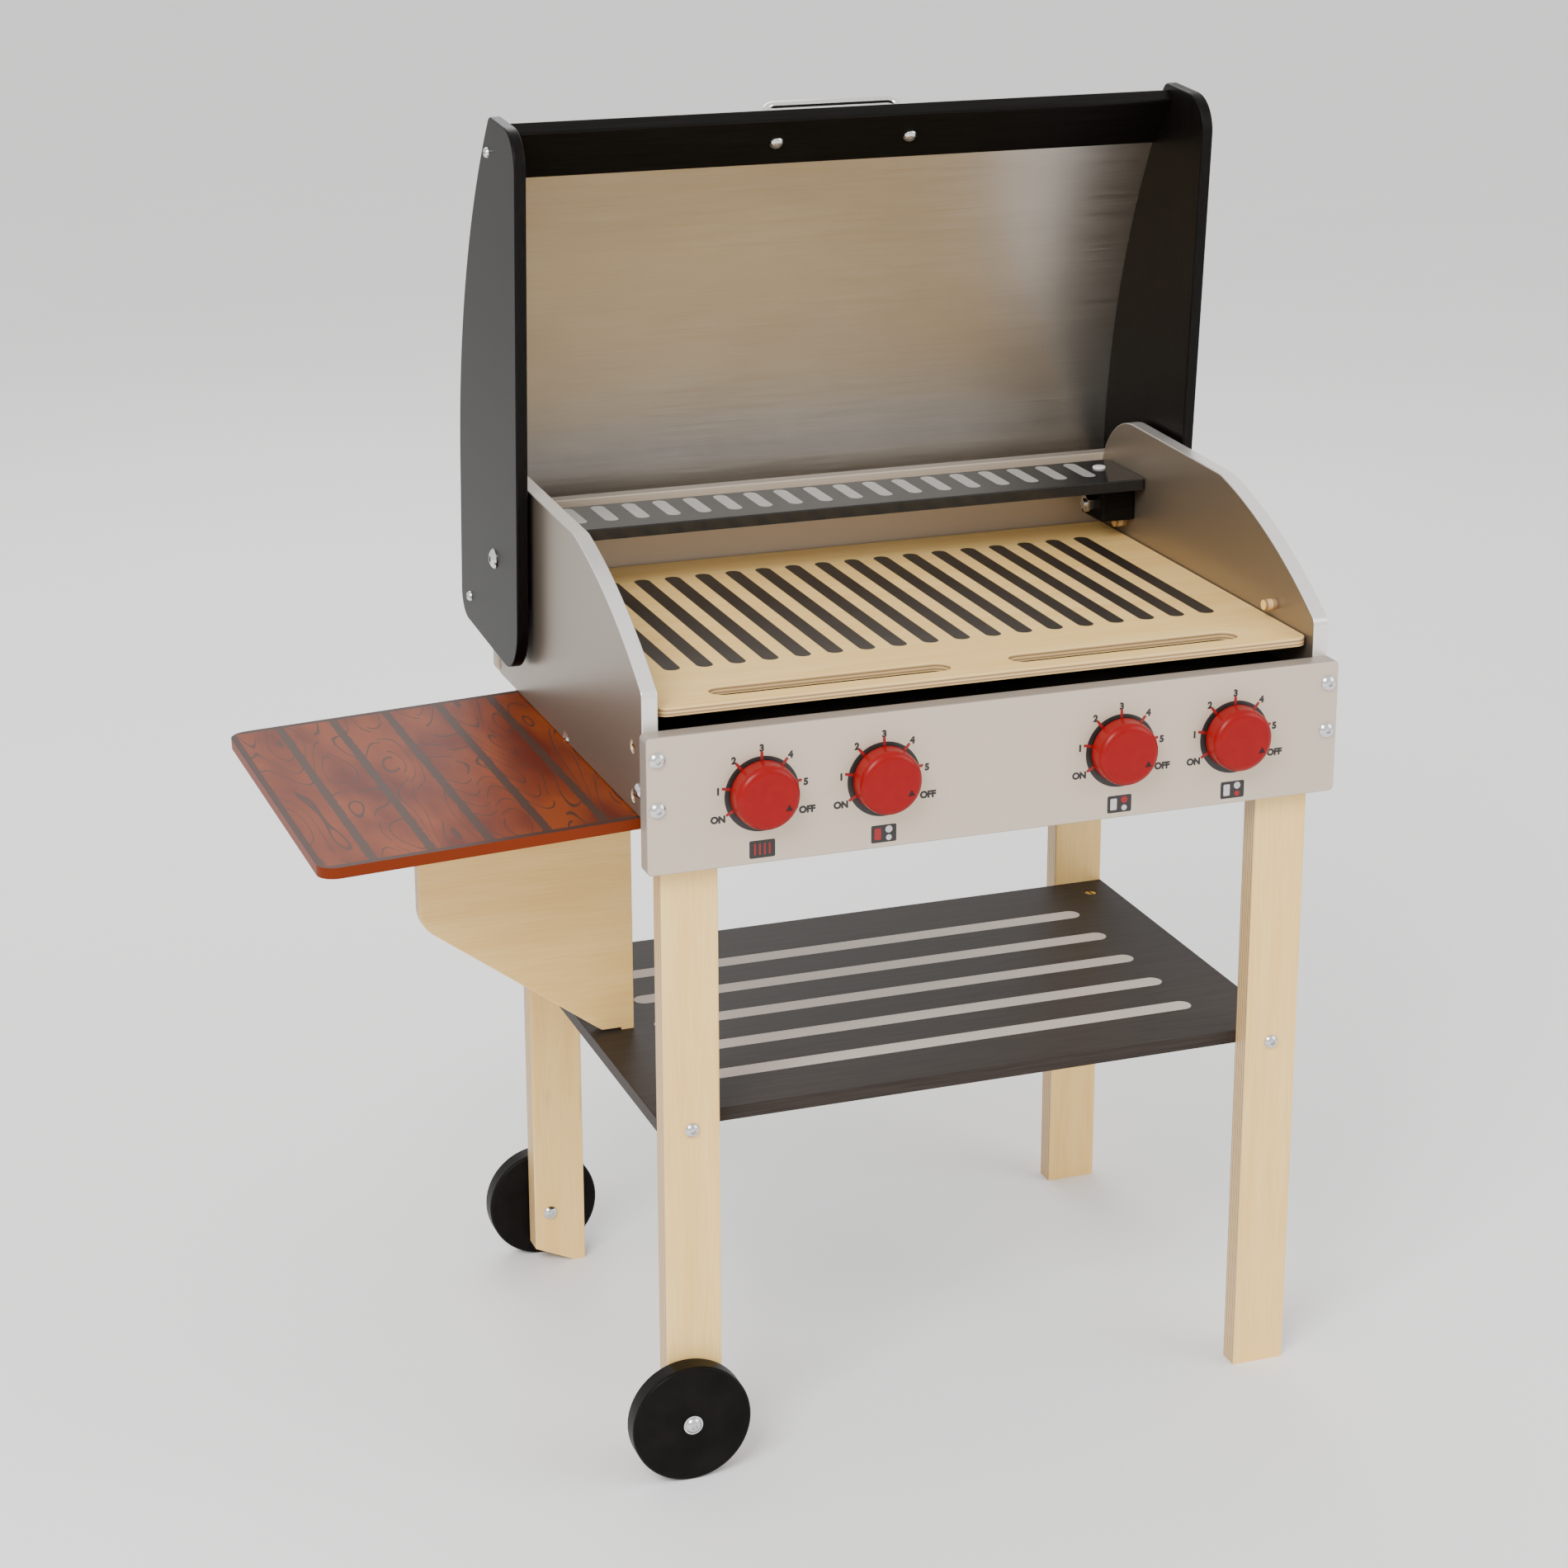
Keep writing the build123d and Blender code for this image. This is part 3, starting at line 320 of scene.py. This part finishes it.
rack_print, tree, shader = new_finish("gloss_rack", 0.12, 0.0, 0.05, 0.28)
x, y, z = millimetres(tree)
stripes = capsule(tree, nearest_stripe(tree, x, RACK_PITCH),
                  calc(tree, "SUBTRACT", y, RACK_MID_Y), 18.0, 5.5)
stripes = calc(tree, "MULTIPLY", stripes, within(tree, x, STRIPES_EACH_SIDE * RACK_PITCH))
ripple = speckle(tree, (x, y, z), (6.0, 6.0, 6.0), 2.0)
ground = blend_colour(tree, ripple, (0.010, 0.010, 0.010, 1), (0.020, 0.019, 0.018, 1))
tree.links.new(blend_colour(tree, on_top(tree, stripes), ground, (0.40, 0.385, 0.365, 1)),
               shader.inputs["Base Color"])
raise_surface(tree, shader, ripple, 0.05, 0.15)
paint(rack_print, "rack_board")

# %% [markdown]
# Black paint lies thin on the lid's boards, so the grain of the wood still shows as fine ridges.
# On the wheels it is the layers of the plywood that show, round the rim.

# %% Black paint


def black(name, grains, roughness, seed=0.0):
    """Near-black with ridges drawn out along the grain."""
    material, tree, shader = new_finish(name, roughness, 0.0, 0.0, 0.09)
    xyz = millimetres(tree)
    ridges = speckle(tree, xyz, grains, 3.0, seed)
    tree.links.new(blend_colour(tree, spread(tree, ridges, 0.3, 0.7), (0.0015, 0.0012, 0.0010, 1),
                                (0.0060, 0.0050, 0.0042, 1)), shader.inputs["Base Color"])
    raise_surface(tree, shader, ridges, 0.12, 0.55)
    return material


paint(black("black_lid_sides", (0.7, 0.7, 60.0), 0.38), "lid_cheek_left", "lid_cheek_right")
paint(black("black_lid_bars", (60.0, 0.8, 0.8), 0.34, 5.0), "lid_beam", "lid_rail")
paint(black("black_inside", (30.0, 30.0, 1.0), 0.55, 8.0), "base_tray", "rack_block_left", "rack_block_right")
paint(black("black_wheels", (26.0, 1.25, 26.0), 0.42, 11.0), "wheel_front", "wheel_rear")

# %% [markdown]
# Brushed steel is made of scratches along the width of the hood. They are very long in X and very
# fine across it, so the surface tips across the scratches far more than along them, and a
# highlight is drawn out across them.

# %% Brushed steel hood
steel, tree, shader = new_finish("brushed_hood", 0.34, 1.0)
xyz = millimetres(tree)
scratches = speckle(tree, xyz, (70.0, 0.35, 0.35), 4.0)
patches = speckle(tree, xyz, (120.0, 60.0, 60.0), 2.0, 6.0)
tone = calc(tree, "ADD", calc(tree, "MULTIPLY", scratches, 0.6), calc(tree, "MULTIPLY", patches, 0.4))
tree.links.new(blend_colour(tree, spread(tree, tone, 0.3, 0.7), (0.50, 0.470, 0.430, 1),
                            (0.64, 0.610, 0.565, 1)), shader.inputs["Base Color"])
tree.links.new(spread(tree, scratches, 0.3, 0.7, 0.28, 0.42), shader.inputs["Roughness"])
raise_surface(tree, shader, scratches, 0.02, 0.3)
paint(steel, "lid_skin")

# %% [markdown]
# The small metal is turned or pressed, with a slight unevenness that breaks up the reflection.

# %% Small metal and plastic


def small(name, dark, light, roughness, metallic, grain=0.6):
    """Two shades mixed by a noise whose grains are about grain millimetres."""
    material, tree, shader = new_finish(name, roughness, metallic)
    wear = speckle(tree, millimetres(tree), (grain, grain, grain), 3.0)
    tree.links.new(blend_colour(tree, spread(tree, wear, 0.3, 0.7), dark, light), shader.inputs["Base Color"])
    raise_surface(tree, shader, wear, 0.02, 0.25)
    return material


paint(small("bright_zinc", (0.52, 0.52, 0.53, 1), (0.76, 0.76, 0.77, 1), 0.20, 1.0),
      "panel_bolts", "leg_bolts", "shelf_bolts", "table_bolt", "axle_bolts", "axle_nuts", "axle_washers",
      "pivot_bolts", "pivot_nuts", "handle_bolts", "lid_screws", "rack_screws", "tray_screws",
      "bracket_screw", *(f"knob_lock_nut_{n}" for n in range(1, 5)))
paint(small("polished_wire", (0.72, 0.71, 0.69, 1), (0.86, 0.85, 0.83, 1), 0.12, 1.0), "lid_handle")
paint(small("turned_brass", (0.46, 0.33, 0.13, 1), (0.66, 0.50, 0.24, 1), 0.30, 1.0),
      "panel_barrel_nuts", "shelf_barrel_nuts", "table_barrel_nut", "leg_insert_nuts")
paint(small("white_cap", (0.72, 0.71, 0.67, 1), (0.80, 0.79, 0.75, 1), 0.40, 0.0, 2.0), "rack_screw_caps")
paint(small("black_nylon", (0.020, 0.020, 0.020, 1), (0.034, 0.034, 0.034, 1), 0.50, 0.0, 1.5),
      "knob_washers", "pivot_spacers", *(f"knob_shaft_{n}" for n in range(1, 5)))

# %% [markdown]
# The knobs are dipped in thick gloss paint. The pointer is cut into the face. What lies near it
# and also deeper than the face is black, so its outline is the cut's own.

# %% Knobs
KNOB_X = (-181.5, -91.0, 91.0, 181.5)
KNOB_Z = 521.0
POINTER_DX, POINTER_DZ = 13.86, -7.37


def knob_red(number, centre):
    """Red everywhere but in the pointer: near its place and deeper than the face."""
    material, tree, shader = new_finish(f"knob_red_{number}", 0.30, 0.0, 0.0, 0.22)
    x, y, z = millimetres(tree)
    dx = calc(tree, "SUBTRACT", x, centre + POINTER_DX)
    dz = calc(tree, "SUBTRACT", z, KNOB_Z + POINTER_DZ)
    far = calc(tree, "SQRT", calc(tree, "ADD", calc(tree, "MULTIPLY", dx, dx),
                                  calc(tree, "MULTIPLY", dz, dz)))
    cut = calc(tree, "MULTIPLY", spread(tree, far, 3.2, 3.4, 1.0, 0.0), spread(tree, y, -17.00, -16.95))
    cloud = speckle(tree, (x, y, z), (9.0, 9.0, 9.0), 2.0, number * 5.0)
    red = blend_colour(tree, cloud, (0.20, 0.0002, 0.0006, 1), (0.27, 0.0004, 0.0010, 1))
    tree.links.new(blend_colour(tree, cut, red, (0.02, 0.010, 0.010, 1)), shader.inputs["Base Color"])
    raise_surface(tree, shader, speckle(tree, (x, y, z), (2.5, 2.5, 2.5), 2.0, number), 0.04, 0.2)
    return material


for number, centre in enumerate(KNOB_X, start=1):
    paint(knob_red(number, centre), f"knob_{number}")

# %% [markdown]
# The side table is printed to look like planks. The seams run from front to rear with ragged
# edges, and the grain is drawn as thin contour lines, as on a map: wherever a smooth noise passes
# half way between two whole numbers, there is a line. The layout is this lesson's own.

# %% Plank print
PLANK_PITCH = 40.8
# Far enough to the left that every plank's number is positive
PLANKS_FROM = 1000.0
TABLE_MID_X, TABLE_MID_Y = -370.0, 180.5

table, tree, shader = new_finish("plank_print", 0.42, 0.0, 0.0, 0.07)
x, y, z = millimetres(tree)
wander = calc(tree, "SUBTRACT", speckle(tree, (x, y, z), (3.0, 5.0, 9.0), 4.0), 0.5)
ragged = calc(tree, "MULTIPLY", wander, 3.4)
along_row = calc(tree, "ADD", x, PLANKS_FROM)
seam_at = nearest_stripe(tree, calc(tree, "ADD", along_row, ragged), PLANK_PITCH)
# This number steps up half way across a plank, not at its seam, so grain lines can break there
plank = calc(tree, "FLOOR", calc(tree, "DIVIDE", along_row, PLANK_PITCH))
seam = spread(tree, calc(tree, "ABSOLUTE", seam_at), 3.0, 3.6, 1.0, 0.0)
hill = speckle(tree, (x, y, z), (30.0, 120.0, 400.0), 0.0, 17.0)
level = calc(tree, "MULTIPLY", calc(tree, "ADD", hill, calc(tree, "MULTIPLY", plank, 0.37)), 9.0)
line = calc(tree, "ABSOLUTE", calc(tree, "SUBTRACT", calc(tree, "FRACT", level), 0.5))
contour = spread(tree, line, 0.03, 0.06, 1.0, 0.0)
shade = speckle(tree, (x, y, z), (34.0, 110.0, 50.0), 2.0, 23.0)
board = blend_colour(tree, spread(tree, shade, 0.36, 0.62),
                     (0.090, 0.010, 0.002, 1), (0.19, 0.034, 0.004, 1))
board = blend_colour(tree, contour, board, (0.055, 0.018, 0.010, 1))
board = blend_colour(tree, seam, board, (0.050, 0.022, 0.014, 1))
edge_x = spread(tree, calc(tree, "ABSOLUTE", calc(tree, "SUBTRACT", x, TABLE_MID_X)), 112.0, 112.6)
edge_y = spread(tree, calc(tree, "ABSOLUTE", calc(tree, "SUBTRACT", y, TABLE_MID_Y)), 151.5, 152.1)
border = calc(tree, "MAXIMUM", edge_x, edge_y)
board = blend_colour(tree, border, board, (0.045, 0.018, 0.012, 1))
rim = spread(tree, facing(tree, ALONG_Z), 0.80, 0.93, 1.0, 0.0)
tree.links.new(blend_colour(tree, rim, board, (0.15, 0.022, 0.005, 1)), shader.inputs["Base Color"])
raise_surface(tree, shader, calc(tree, "SUBTRACT", 1.0, calc(tree, "MAXIMUM", contour, seam)), 0.03, 0.3)
paint(table, "side_table")

# %% [markdown]
# The dials are print on the panel. Print is a film of ink, so each mark is a closed plate a tenth
# of a millimetre thick: an outline worked out as one array, given a front, a back and a side.

# %% Printed marks
INK = 0.1 * MM
# Puts a mark on top of another, with a tenth of a film between them
ONE_FILM_UP = Matrix.Translation((0, -1.1 * INK, 0))


def on_panel(name, mesh, material):
    """Make a mesh a piece of the frame, printed on its silver paint."""
    mesh.materials.append(material)
    piece = bpy.data.objects.new(name, mesh)
    bpy.context.scene.collection.objects.link(piece)
    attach(piece, "frame")
    return piece


def mark(name, outlines, material):
    """Plates from outlines in millimetres (x, z) on the panel face, each an array of points."""
    points, faces, start = [], [], 0
    for outline in outlines:
        outline = np.asarray(outline, dtype=float)
        count = len(outline)
        flat = np.column_stack((box_mid + outline[:, 0] * MM, np.full(count, face_y),
                                outline[:, 1] * MM))
        points.append(np.vstack((flat - (0, INK, 0), flat)))
        ring = np.arange(count)
        after = np.roll(ring, -1)
        faces.append((start + ring).tolist())
        faces.append((start + count + ring[::-1]).tolist())
        sides = np.column_stack((ring, ring + count, after + count, after)) + start
        faces.extend(sides.tolist())
        start += 2 * count
    mesh = bpy.data.meshes.new(name)
    mesh.from_pydata(np.vstack(points).tolist(), [], faces)
    mesh.validate()
    print(name, len(outlines), "marks")
    return on_panel(name, mesh, material)


def rounded(cx, cz, width, height, radius, steps=6):
    """Rounded rectangle, anticlockwise as seen from the front: four quarter circles in turn."""
    turn = np.linspace(0, np.pi / 2, steps)
    outline = []
    for sx, sz, quarter in ((1, 1, 0), (-1, 1, 1), (-1, -1, 2), (1, -1, 3)):
        at = turn + quarter * np.pi / 2
        outline.append(np.column_stack((cx + sx * (width / 2 - radius) + radius * np.cos(at),
                                        cz + sz * (height / 2 - radius) + radius * np.sin(at))))
    return np.vstack(outline)


def disc(cx, cz, radius, steps=40):
    """Circle: cosine and sine of evenly spaced turns."""
    turn = np.linspace(0, 2 * np.pi, steps, endpoint=False)
    return np.column_stack((cx + radius * np.cos(turn), cz + radius * np.sin(turn)))


def ink(name, colour):
    """Print in one colour, mixed with a slightly darker shade of it."""
    darker = tuple(c * 0.85 for c in colour[:3]) + (1,)
    return small(name, darker, colour, 0.45, 0.0, 1.2)


black_ink = ink("black_ink", (0.016, 0.013, 0.012, 1))
red_ink = ink("red_ink", (0.26, 0.004, 0.005, 1))
grey_ink = ink("grey_ink", (0.50, 0.49, 0.48, 1))
print("three inks")

# %% [markdown]
# A dial is a black ring with seven red bars on it. The ring's middle lies a millimetre below the
# knob's. The bars are spread evenly over the knob's whole turn, with the middle one straight up.

# %% Dials
RING_R, RING_HOLE = 27.4, 8.6
RING_Z = KNOB_Z - 1.0
# Three steps lead from the middle bar to either end, 118 degrees away
TICK_STEP = 118.0 / 3


def ring_mesh(name, centre, material, steps=96):
    """Flat washer: a square section (r, y) carried round a full turn."""
    turn = np.linspace(0, 2 * np.pi, steps, endpoint=False)
    section = np.array([(RING_HOLE, 0.0), (RING_R, 0.0), (RING_R, INK / MM), (RING_HOLE, INK / MM)])
    r, depth = section[:, 0][:, None], section[:, 1][:, None]
    x = box_mid + (centre + r * np.sin(turn)) * MM
    y = face_y - depth * MM + 0 * turn
    z = (RING_Z + r * np.cos(turn)) * MM
    vertices = np.stack((x, y, z), axis=-1).reshape(-1, 3)
    row, column = np.meshgrid(np.arange(4), np.arange(steps), indexing="ij")
    after_row, after = (row + 1) % 4, (column + 1) % steps
    quads = np.stack((after_row * steps + column, after_row * steps + after,
                      row * steps + after, row * steps + column), axis=-1).reshape(-1, 4)
    mesh = bpy.data.meshes.new(name)
    mesh.from_pydata(vertices.tolist(), [], quads.tolist())
    return on_panel(name, mesh, material)


def tick(centre, angle):
    """Bar with round ends that lies along a direction from the dial's middle."""
    inner, outer, half = 22.0, 29.0, 1.05
    turn = np.linspace(-np.pi / 2, np.pi / 2, 7)
    along = np.concatenate((outer + half * np.cos(turn), inner - half * np.cos(turn)))
    across = np.concatenate((half * np.sin(turn), -half * np.sin(turn)))
    s, c = np.sin(np.radians(angle)), np.cos(np.radians(angle))
    return np.column_stack((centre + along * s - across * c, KNOB_Z + along * c + across * s))


for number, centre in enumerate(KNOB_X, start=1):
    ring_mesh(f"dial_ring_{number}", centre, black_ink)
    bars = [tick(centre, TICK_STEP * n) for n in range(-3, 4)]
    ticks = mark(f"dial_ticks_{number}", bars, red_ink)
    ticks.data.transform(ONE_FILM_UP)

# %% [markdown]
# The figures are set in Blender's own plain typeface, a little thickened. A text object is turned
# into a mesh first, so that its place goes into its points like that of every other piece.

# %% Figures round the dials
FIGURES = (("ON", -32.2, -16.6), ("1", -32.0, 3.9), ("2", -20.4, 25.0), ("3", 0.0, 32.0),
           ("4", 21.1, 25.0), ("5", 32.3, 3.9), ("OFF", 33.2, -16.5))
LETTER_MM = 5.0
# The typeface's size is measured from line to line, which is more than a letter's height
SIZE_PER_LETTER = 1.35
THICKEN = 0.085


def figure(words, x, z, name):
    """Letters standing on the panel face, their middle at (x, z) millimetres."""
    text = bpy.data.curves.new(name, "FONT")
    text.body = words
    text.size = LETTER_MM * MM * SIZE_PER_LETTER
    text.offset = THICKEN * LETTER_MM * MM
    text.extrude = INK / 2
    text.align_x = "CENTER"
    text.align_y = "CENTER"
    holder = bpy.data.objects.new(name + "_text", text)
    bpy.context.scene.collection.objects.link(holder)
    bpy.context.view_layer.update()
    settled = holder.evaluated_get(bpy.context.evaluated_depsgraph_get())
    mesh = bpy.data.meshes.new_from_object(settled)
    bpy.data.objects.remove(holder)
    upright = Matrix.Rotation(np.pi / 2, 4, "X")
    mesh.transform(Matrix.Translation((box_mid + x * MM, face_y - INK / 2, z * MM)) @ upright)
    mesh.materials.clear()
    on_panel(name, mesh, black_ink)


for number, centre in enumerate(KNOB_X, start=1):
    for words, dx, dz in FIGURES:
        figure(words, centre + dx, KNOB_Z + dz, f"dial_{number}_{words}")
print(len(KNOB_X) * len(FIGURES), "figures")

# %% [markdown]
# Under each dial a small sign says which burner it turns. The first shows four red bars, the rest
# one plate and two rings of the hob, of which the one that the knob turns is red.

# %% Burner signs
SIGN_Z = KNOB_Z - 41.4
for number, centre in enumerate(KNOB_X, start=1):
    mark(f"sign_{number}", [rounded(centre, SIGN_Z, 19.0, 13.0, 1.2)], black_ink)
    if number == 1:
        lit = [rounded(centre + 3.6 * n, SIGN_Z, 1.3, 8.6, 0.6) for n in (-1.5, -0.5, 0.5, 1.5)]
        quiet = []
    else:
        plate = rounded(centre - 4.6, SIGN_Z, 5.0, 8.6, 0.8)
        upper = disc(centre + 3.8, SIGN_Z + 2.9, 2.6)
        lower = disc(centre + 3.8, SIGN_Z - 3.2, 2.1)
        lit = [(plate, upper, lower)[number - 2]]
        quiet = [shape for shape in (plate, upper, lower) if shape is not lit[0]]
    for tag, shapes, colour in (("lit", lit, red_ink), ("quiet", quiet, grey_ink)):
        if shapes:
            mark(f"sign_{number}_{tag}", shapes, colour).data.transform(ONE_FILM_UP)

# %% [markdown]
# A pale floor, a bright even sky and three large soft lamps light it as a catalogue picture does:
# shadows almost vanish, and the metal has something bright to reflect.

# %% Floor and light
FLOOR_REACH = 80.0
floor_mesh = bpy.data.meshes.new("floor")
floor_corners = [(-FLOOR_REACH, -FLOOR_REACH, 0), (FLOOR_REACH, -FLOOR_REACH, 0),
                 (FLOOR_REACH, FLOOR_REACH, 0), (-FLOOR_REACH, FLOOR_REACH, 0)]
floor_mesh.from_pydata(floor_corners, [], [(0, 1, 2, 3)])
floor_piece = bpy.data.objects.new("floor", floor_mesh)
bpy.context.scene.collection.objects.link(floor_piece)
floor_paint, tree, shader = new_finish("pale_floor", 0.75)
floor_cloud = speckle(tree, millimetres(tree), (400.0, 400.0, 400.0), 2.0)
tree.links.new(blend_colour(tree, floor_cloud, (0.86, 0.86, 0.86, 1), (0.90, 0.90, 0.90, 1)),
               shader.inputs["Base Color"])
floor_mesh.materials.append(floor_paint)

world = bpy.data.worlds.new("sky")
bpy.context.scene.world = world
world.use_nodes = True
sky = world.node_tree.nodes["Background"]
sky.inputs["Color"].default_value = (1.0, 0.99, 0.98, 1)
sky.inputs["Strength"].default_value = 1.18


def lamp(name, place, target, size, power):
    """Square soft lamp that looks at a point."""
    light = bpy.data.lights.new(name, "AREA")
    light.size = size
    light.energy = power
    holder = bpy.data.objects.new(name, light)
    holder.location = place
    holder.rotation_euler = (Vector(target) - Vector(place)).to_track_quat("-Z", "Y").to_euler()
    bpy.context.scene.collection.objects.link(holder)


lamp("key", (-2.2, -2.4, 3.0), (0, 0, 0.5), 1.8, 155)
lamp("fill", (2.6, -1.8, 2.0), (0, 0, 0.5), 2.0, 40)
lamp("back", (0.3, 2.6, 2.4), (0, 0, 0.7), 1.6, 35)
print("sky", round(sky.inputs["Strength"].default_value, 2), "and 3 lamps")
